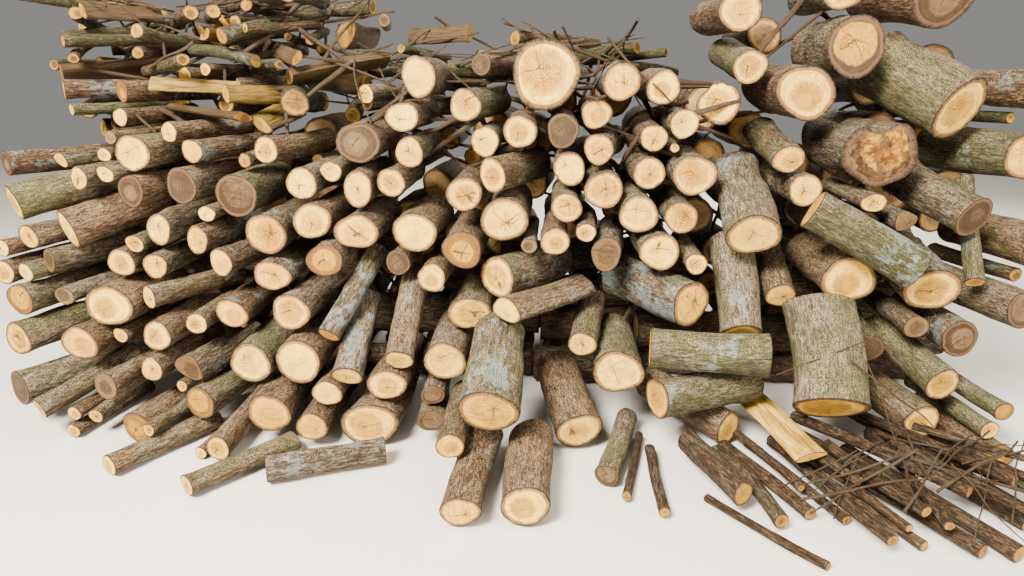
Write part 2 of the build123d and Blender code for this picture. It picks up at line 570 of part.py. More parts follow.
HEAP_LEFT = -1720.0       # the loose heap behind and above the left part of the face
HEAP_RIGHT = 430.0
HEAP_OPEN = -820.0        # left of this the face is low, and the heap comes forward over it
HEAP_BACK = 900.0         # the furthest back that a piece of the heap has its near end
HEAP_FOOT = 880.0         # the heap starts at this height
HEAP_THIN = 1130.0        # above this height its wood is thinner
HEAP_TOP = 1400.0
FOOT_WOOD_LEFT = 720.0    # the branch wood in front of the right part
FOOT_WOOD_RIGHT = 1340.0
FOOT_PIECES = 16


def foot_wood(laid):
    """More thin branches over those on the ground at the right, all lying much the same way."""
    for k in range(FOOT_PIECES):
        thick = chance.triangular(26, 56, 34)
        section = round_section(thick, thick * chance.uniform(0.85, 1), BRANCH_SIDES)
        turn = -chance.uniform(14, 48)
        length = chance.uniform(330, 520)
        y = chance.uniform(-400, -60)
        log = Log((0, y, 0), section, turn, chance.uniform(-4, 6), length, "foot_branch")
        placed = lowest_place(log, laid, FOOT_WOOD_LEFT, FOOT_WOOD_RIGHT, lambda x: 130 + 0.35 * (y + 400))
        if placed:
            laid.append(placed)


def heap_ceiling(x):
    """The heap is highest at the left and runs out behind the biggest log."""
    return 1340 + 45 * math.sin(x / 170) - 120 * max(0.0, (x + 500) / 900)


def fill_heap(laid, level):
    """Throws branches and split wood on the heap up to a level, lying every way."""
    misses = 0
    while misses < 26:
        thick = chance.triangular(36, 98, 56) if level > HEAP_THIN else chance.triangular(60, 135, 85)
        length = chance.uniform(240, 430)
        turn = chance.gauss(8, 28)
        if chance.random() < 0.4:
            turn = chance.choice((-1, 1)) * chance.uniform(35, 88)
        cut = chance.random() < 0.22
        if cut:
            section = split_section(1.5 * thick, 0.9 * thick, chance.uniform(0, 360))
        else:
            section = round_section(thick, thick * chance.uniform(0.85, 1), BRANCH_SIDES)
        front = face_depth(level) + 30
        y = chance.uniform(front, HEAP_BACK)
        if abs(turn) < 50:
            y = max(y - 0.5 * length * math.cos(math.radians(turn)), front)
        log = Log((0, y, 0), section, turn, chance.uniform(-9, 12), length, "split" if cut else "branch")
        reach = length * math.sin(math.radians(turn))
        left = HEAP_LEFT + max(0.0, -reach)
        behind_face = y > face_depth(level) + LOG_LENGTH + RANK_GAP
        right = (HEAP_RIGHT if behind_face else HEAP_OPEN) - max(0.0, reach)
        placed = lowest_place(log, laid, left, right, lambda x: min(level, heap_ceiling(x)))
        if placed:
            laid.append(placed)
        else:
            misses += 1


def build_up():
    """Lays the whole stack, course by course, and returns its logs."""
    laid = []
    face = FOOT + GROUND + LEFT + MIDDLE_LEFT + MIDDLE_RIGHT + RIGHT + CROSSWISE + HEAP
    named = dict(biggest_log=BIGGEST, heart_log=HEART, burr_log=BURR, orange_butt=ORANGE_BUTT,
                 slanted_butt=SLANTED_BUTT)
    for name, seen in named.items():
        seen["look"] = name
        seen["most_rise"] = math.inf
    for seen in GROUND:
        seen["look"] = "foot_split" if seen["cut"] == "split" else "foot_branch"
        seen["most_rise"] = math.inf
    for seen in CROSSWISE:
        seen["look"] = "crosswise_" + seen["look"]
    waiting = sorted(face + list(named.values()), key=laying_order)
    level = 0.0
    while waiting or level < HEAP_TOP:
        level += COURSE
        while waiting and laying_order(waiting[0]) < level - COURSE / 2:
            lay_face_log(waiting.pop(0), laid)
        fill_between(laid, level)
        fill_back(laid, level)
        if level > HEAP_FOOT:
            fill_heap(laid, level - 40)
    foot_wood(laid)
    return laid


def saw_node(name, logs):
    """Makes one node's logs from their ends, each by itself, and writes them."""
    with BuildPart() as node:
        for log in logs:
            front = Plane(origin=tuple(log.centre), x_dir=tuple(log.across), z_dir=tuple(-log.axis))
            with BuildSketch(front):
                with BuildLine():
                    Polyline(*log.outline_of_end, close=True)
                make_face()
            extrude(amount=-log.length)
    node.part.label = name
    export_step(node.part, f"parts/{name}.step")
    return node.part


def sort_into_nodes(laid):
    """Gives each log its node: by its look, and by its course where a look has many logs."""
    courses = dict(pale=9, mossy=4, lichen=2, brown=3, back=8, between=2, branch=2, foot_branch=2)
    names = dict(pale="pale_logs", mossy="mossy_logs", lichen="lichened_logs", brown="brown_ended_logs",
                 grey="grey_ended_logs", orange="orange_ended_logs", back="back_rank_logs",
                 between="logs_between_ranks", branch="branch_wood", split="split_wood", wedge="wedge_logs",
                 foot_branch="foot_branches", foot_split="split_plank",
                 crosswise_lichen="crosswise_logs", crosswise_mossy="crosswise_logs",
                 crosswise_brown="crosswise_logs", crosswise_orange="crosswise_logs")
    nodes = {}
    for look in {log.look for log in laid}:
        logs = sorted((log for log in laid if log.look == look), key=lambda log: log.centre[2])
        parts = courses.get(look, 1)
        for k, log in enumerate(logs):
            course = 1 + k * parts // len(logs)
            name = names.get(look, look)
            nodes.setdefault(f"{name}_{course}" if parts > 1 else name, []).append(log)
    return nodes


def centred(laid):
    """Moves the whole stack so that the middle of its bounds stands on the origin."""
    low = np.min([log.low for log in laid], axis=0)
    high = np.max([log.high for log in laid], axis=0)
    by = np.array([-(low[0] + high[0]) / 2, -(low[1] + high[1]) / 2, -low[2]])
    print("the stack is moved by", by.round(2), "and measures", (high - low).round(1))
    return [log.moved(by) for log in laid]


os.makedirs("parts", exist_ok=True)
stack = centred(build_up())
for name, logs in sorted(sort_into_nodes(stack).items()):
    saw_node(name, logs)
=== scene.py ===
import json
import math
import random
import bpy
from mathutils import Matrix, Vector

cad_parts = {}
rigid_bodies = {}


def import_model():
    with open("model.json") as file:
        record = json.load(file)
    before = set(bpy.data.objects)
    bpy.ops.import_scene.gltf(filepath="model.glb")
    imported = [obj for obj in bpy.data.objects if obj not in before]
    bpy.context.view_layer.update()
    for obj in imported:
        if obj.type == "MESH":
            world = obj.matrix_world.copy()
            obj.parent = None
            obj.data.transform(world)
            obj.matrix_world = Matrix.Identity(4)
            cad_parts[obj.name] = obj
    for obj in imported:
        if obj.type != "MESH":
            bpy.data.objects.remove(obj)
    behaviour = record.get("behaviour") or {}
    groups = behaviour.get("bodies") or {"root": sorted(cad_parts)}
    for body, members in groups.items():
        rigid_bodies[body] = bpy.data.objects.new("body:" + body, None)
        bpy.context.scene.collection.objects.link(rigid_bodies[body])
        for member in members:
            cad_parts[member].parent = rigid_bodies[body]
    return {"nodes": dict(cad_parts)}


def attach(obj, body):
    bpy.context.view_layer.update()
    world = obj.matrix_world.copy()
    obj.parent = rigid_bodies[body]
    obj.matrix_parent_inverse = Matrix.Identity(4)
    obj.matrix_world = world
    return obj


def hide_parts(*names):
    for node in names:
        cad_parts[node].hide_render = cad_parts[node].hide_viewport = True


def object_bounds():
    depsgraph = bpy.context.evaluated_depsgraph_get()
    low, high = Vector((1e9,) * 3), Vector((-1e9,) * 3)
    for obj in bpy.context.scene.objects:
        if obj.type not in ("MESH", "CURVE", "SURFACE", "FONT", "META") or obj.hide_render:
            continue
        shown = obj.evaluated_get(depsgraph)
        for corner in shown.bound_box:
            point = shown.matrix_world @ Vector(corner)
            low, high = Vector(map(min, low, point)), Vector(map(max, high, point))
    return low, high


bl_info = {
    "name": "Stack of firewood logs",
    "version": (1, 0, 0),
    "blender": (4, 5, 0),
    "location": "3D View > Sidebar > Firewood",
    "description": "Dresses a loose stack of sawn logs with bark, moss, lichen and end grain",
    "category": "Object",
}

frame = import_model()
cad_low, cad_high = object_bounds()

import bmesh
import bpy
from mathutils import Vector
from mathutils.bvhtree import BVHTree

# Where the foot of the stack's face stands in the frame, and how the eye stands before it, in
# metres and degrees
FACE_FOOT = Vector((0.1724, -0.3163, 0.0))
EYE_DISTANCE = 1.79
EYE_HEIGHT = 1.10
EYE_PITCH = 17.7
EYE_YAW = 3.8
# The eye's focal length and picture width in pixels, and its sensor's width in millimetres
FOCAL_PIXELS = 683.0
IMAGE_WIDTH = 1024.0
SENSOR_WIDTH = 36.0

# The lamps of the stage: name, place, what it points at, size in metres and power in watts
LAMPS = (
    ("key", (-1.6, -3.4, 3.8), (0.1, 0.0, 0.6), 1.6, 1380.0),
    ("fill", (3.4, -3.0, 2.2), (0.0, 0.2, 0.5), 3.0, 260.0),
    ("top", (0.0, 0.4, 4.2), (0.0, 0.2, 0.0), 3.0, 120.0),
    ("back", (1.8, 4.2, 2.6), (0.0, 0.4, 0.5), 2.5, 260.0),
)
LAMP_COLOUR = (1.0, 0.91, 0.78)
SKY_COLOUR = (0.90, 0.88, 0.84, 1.0)
SKY_STRENGTH = 0.30

# Tints that the finishes multiply a colour by
DULL_LOG = (0.72, 0.66, 0.60)
PLATE_SHADE = (0.42, 0.36, 0.32)
PORE_SHADE = (0.36, 0.31, 0.27)
FLECK_LIGHT = (1.85, 1.80, 1.72)
FILM_SHADE = (0.50, 0.50, 0.6)
MOSS_LIGHT = (1.9, 1.75, 1.3)
MOSS_SHADE = (0.40, 0.48, 0.45)
LICHEN_SHADE = (0.42, 0.46, 0.46)
OLD_BARK = (0.55, 0.53, 0.50)
SAWN_BARK = (0.58, 0.48, 0.42)
STRAW = (0.84, 0.72, 0.52)
ZONE_SHADE = (0.78, 0.60, 0.36)
BLOTCH_SHADE = (0.82, 0.68, 0.46)
RING_SHADE = (0.46, 0.31, 0.14)
RAY_SHADE = (0.42, 0.26, 0.13)
SAW_SHADE = (0.72, 0.57, 0.38)
SPECK_SHADE = (0.70, 0.56, 0.38)
GRIME_SHADE = (0.46, 0.38, 0.30)
ROT_SHADE = (0.34, 0.25, 0.17)
FIBRE_SHADE = (0.38, 0.29, 0.22)
STAIN_SHADE = (0.62, 0.54, 0.46)
OLD_TWIG = (0.40, 0.36, 0.32)
TWIG_SHADE = (0.45, 0.42, 0.40)
# The grain of the floor is mixed towards this colour, and the floor lies this far down
FLOOR_GRAIN = (0.5, 0.48, 0.45)
FLOOR_LEVEL = -0.001

# Factors that turn a log's own number into more numbers of its own
LOT_SPREADS = (7.31, 23.7, 91.3)

# Points nearer than this many metres are merged, and faces that meet at less than this many
# degrees are joined
MERGE_GAP = 0.00005
FLAT_ANGLE = 0.4
# A rim stays this sharp when the log is rounded, from 0 to 1
RIM_CREASE = 0.85
# Edges sharper than this many degrees stay sharp to the eye, on logs and on twigs
LOG_EDGE = 50
TWIG_EDGE = 60
# The sizes of the lumps and dents that the bark takes, in metres, and the share that sinks in
LUMP_SIZE = 0.07
DENT_SIZE = 0.035
SINK_LEVEL = 0.85

# The waves that a trunk's section is drawn in by: how many go round it, and how much each counts
WAVES = ((1, 0.30), (2, 0.42), (3, 0.34), (5, 0.16))
# How far a wave may turn along a log, in radians, and how much thinner one end may be
MOST_TWIST = 9.0
MOST_TAPER = 0.07
# A knot stands out by this share of the waves, over an angle in radians and a share of the radius
KNOT_HEIGHT = 0.9
KNOT_ANGLE = 0.32
KNOT_REACH = 0.4

# How thin branch wood and split wood are dressed
THIN = dict(cuts=3, levels=1, ring=0.003, relief=0.002, uneven=0.16, crook=0.40)
SPLIT = dict(cuts=4, levels=1, ring=0.004, relief=0.004, uneven=0.10, crook=0.05)

# Twigs: where along a laid one its points lie, and what its kinks and slope may be
TWIG_SHARES = (0.0, 0.28, 0.55, 0.8, 1.0)
TWIG_STEPS = 18
TWIG_KINK = 0.035
TWIG_STEEP = 0.75
TWIG_TAPER = 0.45
# A laid twig rests on wood at least this high. A wedged one is between these lengths, is looked
# for from this far off the bark, and leads outwards by at least this share of its way.
LOWEST_REST = 0.004
SHORTEST_STICK = 0.05
LONGEST_STICK = 0.30
OFF_BARK = 0.004
LEAST_OUTWARD = 0.2
# The thinnest twig and the shortest laid one, as shares of the thickest and the longest
THINNEST = 0.35
SHORTEST = 0.4
# How many tries one twig is worth, and what the draws of all twigs start from
LAY_TRIES = 12
WEDGE_TRIES = 40
TWIG_SEED = 8


# Sizes and colours that a user would change

def colour_setting(name, text, value):
    return bpy.props.FloatVectorProperty(name=name, description=text, subtype="COLOR", size=3,
                                         min=0.0, max=1.0, default=value)


def length_setting(name, text, value):
    return bpy.props.FloatProperty(name=name, description=text, unit="LENGTH", default=value)


def count_setting(name, text, value):
    return bpy.props.IntProperty(name=name, description=text, min=0, default=value)


class FirewoodEnds(bpy.types.PropertyGroup):
    pale: colour_setting("Pale wood", "Fresh sapwood of most ends", (0.90, 0.615, 0.112))
    golden: colour_setting("Golden wood", "Wood nearer to the pith", (0.47, 0.285, 0.036))
    orange: colour_setting("Orange wood", "Ends of the orange kind", (0.270, 0.140, 0.012))
    amber: colour_setting("Amber wood", "The bright heart of the orange kind", (0.60, 0.345, 0.036))
    brown: colour_setting("Brown wood", "Ends that have weathered brown", (0.066, 0.043, 0.022))
    grey: colour_setting("Grey wood", "Ends that have greyed", (0.180, 0.128, 0.066))
    # Dry wood is darker and duller than the pale ends: partly weathered wood, partly painted shade,
    # so the rear rank's ends seen through the gaps of the face read dark
    dry: colour_setting("Dry wood", "Dull ends of the rear rank", (0.56, 0.39, 0.19))
    cambium: colour_setting("Inner bark", "The line between wood and bark", (0.120, 0.062, 0.028))
    # The checks' colour is partly the wood's own darker colour there and partly painted shade
    # inside the cracks; the rotten groove is painted with it too
    check: colour_setting("Drying checks", "The cracks from the pith", (0.085, 0.038, 0.015))
    bark_width: length_setting("Bark width", "Width of the bark that shows round an end", 0.0045)
    ring_width: length_setting("Ring width", "Distance between two year rings", 0.0075)


class FirewoodBark(bpy.types.PropertyGroup):
    brown: colour_setting("Brown bark", "The lighter plates of the bark", (0.140, 0.092, 0.054))
    # Dark bark colours the furrows, partly the bark's own darker colour there and partly painted
    # shade in them; it also colours dark bits of the bark round an end
    dark: colour_setting("Dark bark", "The furrows of the bark", (0.026, 0.019, 0.013))
    grey: colour_setting("Grey bark", "Weathered bark", (0.160, 0.134, 0.096))
    moss: colour_setting("Moss", "Moss and green algae", (0.060, 0.078, 0.016))
    lichen: colour_setting("Lichen", "Pale crusts of lichen", (0.190, 0.230, 0.215))
    sawdust: colour_setting("Sawdust", "Flecks of sawdust on the upper sides", (0.66, 0.50, 0.31))
    furrow_depth: length_setting("Furrow depth", "How deep the bark is furrowed", 0.0026)


class FirewoodStage(bpy.types.PropertyGroup):
    floor: colour_setting("Floor", "The plain pale floor", (0.72, 0.70, 0.67))
    floor_size: length_setting("Floor size", "How wide the floor is", 14.0)
    heap_twigs: count_setting("Heap twigs", "Thin twigs on the heap", 110)
    foot_twigs: count_setting("Foot twigs", "Thin twigs at the right foot", 30)
    props: count_setting("Props", "Short twigs caught between the heap's wood", 200)
    gap_sticks: count_setting("Gap sticks", "Sticks caught between the ranks", 240)


# Shader maths written as expressions

class Value:
    """A number that varies over a surface, or a socket that carries one."""

    def __init__(self, bench, socket):
        self.bench, self.socket = bench, socket

    def _math(self, operation, *others):
        return self.bench.math(operation, self, *others)

    def __add__(self, other):
        return self._math("ADD", other)

    __radd__ = __add__

    def __mul__(self, other):
        return self._math("MULTIPLY", other)

    __rmul__ = __mul__

    def __sub__(self, other):
        return self._math("SUBTRACT", other)

    def __rsub__(self, other):
        return self.bench.math("SUBTRACT", other, self)

    def __truediv__(self, other):
        return self._math("DIVIDE", other)


class Bench:
    """A new material's node tree, with short ways to add what the finishes need."""

    def __init__(self, name):
        self.material = bpy.data.materials.new(name)
        self.material.use_nodes = True
        self.tree = self.material.node_tree
        self.tree.nodes.clear()
        self.shader = self.tree.nodes.new("ShaderNodeBsdfPrincipled")
        output = self.tree.nodes.new("ShaderNodeOutputMaterial")
        self.tree.links.new(self.shader.outputs["BSDF"], output.inputs["Surface"])

    def node(self, kind, settings=None, **sockets):
        """A node with its settings, and its inputs by name or, as in _0, by number."""
        node = self.tree.nodes.new("ShaderNode" + kind)
        for key, value in (settings or {}).items():
            setattr(node, key, value)
        for key, value in sockets.items():
            self.feed(node.inputs[int(key[1:]) if key[1:].isdigit() else key], value)
        return node

    def feed(self, socket, value):
        if isinstance(value, Value):
            self.tree.links.new(value.socket, socket)
        elif isinstance(value, bpy.types.NodeSocket):
            self.tree.links.new(value, socket)
        elif hasattr(value, "__len__") and socket.type == "RGBA" and len(value) == 3:
            socket.default_value = (*value, 1.0)
        else:
            socket.default_value = value

    def math(self, operation, *values):
        sockets = {f"_{k}": value for k, value in enumerate(values)}
        return Value(self, self.node("Math", dict(operation=operation), **sockets).outputs[0])

    def sine(self, value):
        return self.math("SINE", value)

    def cosine(self, value):
        return self.math("COSINE", value)

    def smooth(self, value, low, high):
        """0 below low, 1 above high, and a soft step between."""
        settings = dict(interpolation_type="SMOOTHSTEP")
        return Value(self, self.node("MapRange", settings, _0=value, _1=low, _2=high).outputs[0])

    def mix(self, factor, first, second, blend="MIX"):
        node = self.node("Mix", dict(data_type="RGBA", blend_type=blend))
        self.feed(node.inputs[0], factor)
        self.feed(node.inputs[6], first)
        self.feed(node.inputs[7], second)
        return node.outputs[2]

    def tinted(self, factor, colour, tint):
        """The colour, multiplied by a tint as far as the factor says."""
        return self.mix(factor, colour, tint, "MULTIPLY")

    def noise(self, where, scale, detail=3.0, rough=0.55):
        sockets = dict(Vector=where, Scale=scale, Detail=detail, Roughness=rough)
        return Value(self, self.node("TexNoise", None, **sockets).outputs[0])

    def attribute(self, name):
        """The three numbers of a vector that the log copies carry."""
        node = self.node("Attribute", dict(attribute_name=name))
        parts = self.node("SeparateXYZ", None, _0=node.outputs["Vector"])
        return [Value(self, parts.outputs[k]) for k in range(3)]

    def lots(self, own, count):
        """More numbers from 0 to 1 that are the log's own."""
        return [self.math("FRACT", own * spread) for spread in LOT_SPREADS[:count]]

    def vector(self, x, y, z):
        return self.node("CombineXYZ", None, _0=x, _1=y, _2=z).outputs[0]

    def bump(self, height, distance):
        return self.node("Bump", None, Height=height, Distance=distance, Strength=1.0).outputs[0]

    def finish(self, colour, roughness, normal, specular):
        self.feed(self.shader.inputs["Base Color"], colour)
        self.feed(self.shader.inputs["Roughness"], roughness)
        self.feed(self.shader.inputs["Normal"], normal)
        self.shader.inputs["Specular IOR Level"].default_value = specular
        return self.material


# Finishes
# Each log copy carries two attributes: "place" is the point in the log's own frame, across, up and
# along it in metres; "wood" holds a number from 0 to 1 that is the log's own, how near the point is
# to the rim of the end (1 at the rim), and the log's radius in metres.

def bark_finish(name, moss, lichen, grey, furrows, age):
    """Bark with furrows along the log, moss, crusts of lichen, and sawdust on its upper side."""
    bark = bpy.context.scene.firewood_bark
    b = Bench(name)
    across, up, along = b.attribute("place")
    own = b.attribute("wood")[0]
    second, third = b.lots(own, 2)
    shift = own * 37.0
    skin = b.vector(across + shift, up + shift, along)
    grain = b.vector(across + shift, up + shift, along * 0.24)
    geometry = b.node("NewGeometry")
    sky = Value(b, b.node("SeparateXYZ", None, _0=geometry.outputs["Normal"]).outputs[2])
    # the furrows run together and part again, deeper on some logs than on others
    net = b.math("ABSOLUTE", b.noise(grain, 52.0 / furrows, 4.0, 0.62) - 0.5)
    depth = 0.25 + 0.75 * second
    furrow = b.smooth(net, 0.055, 0.0) * depth
    fine = b.noise(grain, 260.0, 4.0, 0.75)
    coarse = b.noise(grain, 95.0, 4.0, 0.7)
    patch = b.noise(skin, 10.0, 3.0, 0.6)
    weathering = b.smooth(patch + (third - 0.5) * 0.5 + (grey - 0.5) * 0.5, 0.36, 0.64)
    tone = b.mix(weathering, bark.brown, bark.grey)
    tone = b.tinted(b.smooth(second, 0.0, 1.0) * 0.6, tone, DULL_LOG)
    tone = b.tinted(b.smooth(coarse, 0.55, 0.42), tone, PLATE_SHADE)
    tone = b.tinted(b.smooth(fine, 0.52, 0.42), tone, PORE_SHADE)
    tone = b.tinted(b.smooth(fine, 0.54, 0.61), tone, FLECK_LIGHT)
    # the furrows are painted towards the dark bark colour: partly the darker bark inside them and
    # partly painted shade in the furrows
    tone = b.mix(furrow * 0.75, tone, bark.dark)
    # a green film, and cushions of moss in patches
    film = b.noise(skin, 7.0, 3.0, 0.6) + (third - 0.5) * 0.3
    film = b.smooth(film, 0.66 - 0.34 * moss, 0.86 - 0.30 * moss)
    tone = b.mix(film * 0.55, tone, b.tinted(b.smooth(fine, 0.62, 0.4), bark.moss, FILM_SHADE))
    cushion = b.noise(skin, 26.0, 5.0, 0.72) + sky * 0.07
    cushion = b.smooth(cushion, 0.88 - 0.24 * moss, 0.96 - 0.24 * moss)
    lit_moss = b.tinted(1.0, bark.moss, MOSS_LIGHT)
    tone = b.mix(cushion * 0.9, tone, b.tinted(b.smooth(coarse, 0.6, 0.4), lit_moss, MOSS_SHADE))
    # crusts of lichen with crumbled edges
    crust = b.noise(skin, 34.0, 5.0, 0.75)
    field = b.noise(skin, 8.0, 2.0, 0.5) + (second - 0.5) * 0.2
    spots = b.smooth(crust + field * 0.8, 1.13 - 0.135 * lichen, 1.17 - 0.135 * lichen)
    tone = b.mix(spots * 0.85, tone, b.tinted(b.smooth(fine, 0.6, 0.4), bark.lichen, LICHEN_SHADE))
    # sawdust settles on what faces up
    dust = b.smooth(b.noise(skin, 360.0, 2.0, 0.6), 0.57, 0.65) * b.smooth(sky, 0.05, 0.65)
    dust = dust * b.smooth(b.noise(skin, 18.0, 3.0, 0.6), 0.32, 0.54) * (1.0 - age)
    # the bark is darkened and dulled as far as its age says; on the rear rank's logs this darkening
    # is partly painted shade
    tone = b.tinted(age, tone, OLD_BARK)
    colour = b.mix(dust * 0.75, tone, bark.sawdust)
    height = 0.55 * coarse + 0.30 * fine - 0.9 * furrow
    height = height + 0.25 * cushion + 0.12 * spots + 0.15 * dust
    return b.finish(colour, 0.88 + 0.06 * cushion, b.bump(height, bark.furrow_depth), 0.2)


def end_finish(name, outer, inner, age, checks, firm, groove):
    """A sawn end: bark round it, rings, a heart, rays, saw marks, drying checks, and a rotten
    groove where its width isn't 0."""
    ends, bark = bpy.context.scene.firewood_ends, bpy.context.scene.firewood_bark
    b = Bench(name)
    across, up = b.attribute("place")[:2]
    own, rim, radius = b.attribute("wood")
    second, third, fourth = b.lots(own, 3)
    shift = own * 53.0
    flat = b.vector(across + shift, up + shift, shift)
    wobble = b.noise(flat, 24.0, 3.0, 0.6)
    # the pith lies a little off the middle
    px = across - (second - 0.5) * radius * 0.42
    py = up - (third - 0.5) * radius * 0.42
    reach = b.math("SQRT", px * px + py * py)
    turn = b.math("ARCTAN2", py, px)
    share = reach / radius + (wobble - 0.5) * 0.32
    # each log has a tone of its own between cream and straw, and a heart, clear or faint
    tone = b.tinted(b.smooth(second, 0.15, 1.0), outer, STRAW)
    edge = 0.34 + third * 0.34
    clear = b.math("MAXIMUM", b.smooth(fourth, 0.15, 0.75), firm)
    heart = b.smooth(share, edge + 0.14, edge - 0.02) * clear
    tone = b.mix(heart * 0.80, tone, inner)
    tone = b.mix(b.smooth(share, 0.42, 0.02) * 0.45, tone, inner)
    zone = b.sine(share * 10.0 + fourth * 6.0)
    tone = b.tinted(b.smooth(zone, 0.0, 0.9) * 0.55 * fourth, tone, ZONE_SHADE)
    blotch = b.smooth(b.noise(flat, 19.0, 4.0, 0.62), 0.42, 0.72)
    tone = b.tinted(blotch * 0.9, tone, BLOTCH_SHADE)
    # year rings
    ring = b.sine((reach + (wobble - 0.5) * 0.007) * (math.tau / ends.ring_width))
    rings = b.smooth(ring, 0.1, 0.95) * b.smooth(b.noise(flat, 30.0, 3.0), 0.36, 0.58)
    tone = b.tinted(rings * (0.45 + 0.55 * third), tone, RING_SHADE)
    # rays from the pith outwards
    spoke = b.vector(b.sine(turn) * 3.6 + shift, b.cosine(turn) * 3.6, reach * 7.0)
    rays = b.smooth(b.noise(spoke, 5.0, 3.0, 0.75), 0.55, 0.64) * b.smooth(share, 1.05, 0.55)
    tone = b.tinted(rays, tone, RAY_SHADE)
    # the saw leaves streaks across the end
    tilt = fourth * 3.0
    streak = across * b.cosine(tilt) + up * b.sine(tilt)
    saw = b.noise(b.vector(streak + shift, shift, across * 0.08), 150.0, 2.0, 0.6)
    sawn = b.smooth(saw, 0.53, 0.66) * b.smooth(second, 0.2, 0.9)
    tone = b.tinted(sawn * 0.8, tone, SAW_SHADE)
    speck = b.smooth(b.noise(flat, 240.0, 3.0, 0.7), 0.54, 0.68)
    tone = b.tinted(speck * 0.85, tone, SPECK_SHADE)
    # drying checks: thin wedges from the pith, uneven in number, turn and reach
    count = b.math("FLOOR", second * 4.0) + 3.0
    uneven = turn + 0.55 * b.sine(turn + own * 71.0) + 0.35 * b.sine(turn * 2.0 + own * 43.0)
    crooked = uneven + (b.noise(flat, 34.0, 3.0) - 0.5) * 0.55 + own * 40.0
    star = b.math("ABSOLUTE", b.sine(crooked * count * 0.5))
    arm = b.noise(b.vector(b.sine(turn) + shift, b.cosine(turn) + shift, shift), 2.3, 1.0)
    span = b.math("MAXIMUM", (arm - 0.27) * 3.1, 0.02) * radius
    widest = (0.0007 + 0.011 * radius) * checks * b.smooth(third, 0.10, 0.30)
    width = b.math("MAXIMUM", (1.0 - reach / span) * widest, 0.0)
    crack = b.smooth(star * reach * 2.0 / count, width, width * 0.4)
    crack = crack * b.smooth(width, 0.00004, 0.0003)
    # the checks are painted dark: partly the wood's own darker colour and partly painted shade
    # inside the cracks
    tone = b.mix(crack * 0.9, tone, ends.check)
    # grime that an older end gathers
    grime = b.smooth(b.noise(flat, 52.0, 5.0, 0.72), 0.46, 0.74)
    tone = b.tinted(grime * age, tone, GRIME_SHADE)
    if groove:
        seam = b.math("ABSOLUTE", across + (b.noise(flat, 16.0, 3.0) - 0.5) * 0.09)
        tone = b.tinted(b.smooth(b.noise(flat, 30.0, 5.0, 0.7), 0.40, 0.60), tone, ROT_SHADE)
        # the rotten groove is painted in the checks' colour: partly rot and partly painted shade in
        # the groove
        tone = b.mix(b.smooth(seam, groove, groove * 0.25) * 0.9, tone, ends.check)
    # the inner bark and the bark round the end
    depth = (1.0 - rim) * radius + (b.noise(flat, 62.0, 3.0) - 0.5) * 0.0034
    thick = ends.bark_width * 0.5 + radius * 0.034
    tone = b.mix(b.smooth(depth, thick * 1.3, thick * 0.8) * 0.85, tone, ends.cambium)
    outside = b.smooth(depth, thick * 0.75, thick * 0.35)
    skin = b.mix(b.smooth(b.noise(flat, 190.0), 0.45, 0.70), bark.dark, bark.brown)
    colour = b.mix(outside, tone, b.tinted(1.0, skin, SAWN_BARK))
    height = saw * 0.3 - rings * 0.15 - crack * 1.3 - outside * 0.6
    height = height + b.noise(flat, 520.0, 2.0) * 0.3
    return b.finish(colour, 0.74 + crack * 0.15, b.bump(height, 0.0016), 0.25)


def split_finish(name, weathered):
    """Wood split along the grain: long fibres, pale where fresh and brown where weathered."""
    ends = bpy.context.scene.firewood_ends
    b = Bench(name)
    across, up, along = b.attribute("place")
    own = b.attribute("wood")[0]
    second = b.lots(own, 1)[0]
    shift = own * 31.0
    fibres = b.noise(b.vector(across + shift, up + shift, along * 0.05), 240.0, 4.0, 0.7)
    streak = b.noise(b.vector(across + shift, up + shift, along * 0.14), 46.0, 3.0, 0.6)
    stain = b.smooth(b.noise(b.vector(across + shift, up, along), 12.0, 3.0), 0.36, 0.66)
    fresh = b.mix(b.smooth(streak, 0.36, 0.62), ends.golden, ends.pale)
    tone = b.mix((0.70 + 0.28 * b.smooth(second, 0.10, 0.55)) * weathered, fresh, ends.brown)
    tone = b.tinted(b.smooth(fibres, 0.48, 0.62), tone, FIBRE_SHADE)
    tone = b.tinted(stain * 0.7, tone, STAIN_SHADE)
    return b.finish(tone, 0.8, b.bump(fibres * 0.8 + streak * 0.7, 0.0034), 0.2)


def twig_finish(name):
    """Thin dry bark, from grey to brown."""
    bark, ends = bpy.context.scene.firewood_bark, bpy.context.scene.firewood_ends
    b = Bench(name)
    where = b.node("TexCoord").outputs["Object"]
    tone = b.mix(b.smooth(b.noise(where, 9.0, 2.0), 0.40, 0.60), bark.brown, bark.grey)
    tone = b.mix(b.smooth(b.noise(where, 14.0, 2.0), 0.52, 0.66) * 0.6, tone, ends.cambium)
    fine = b.noise(where, 320.0, 3.0, 0.7)
    tone = b.tinted(b.smooth(fine, 0.58, 0.40), b.tinted(1.0, tone, OLD_TWIG), TWIG_SHADE)
    return b.finish(tone, 0.85, b.bump(fine, 0.0008), 0.2)


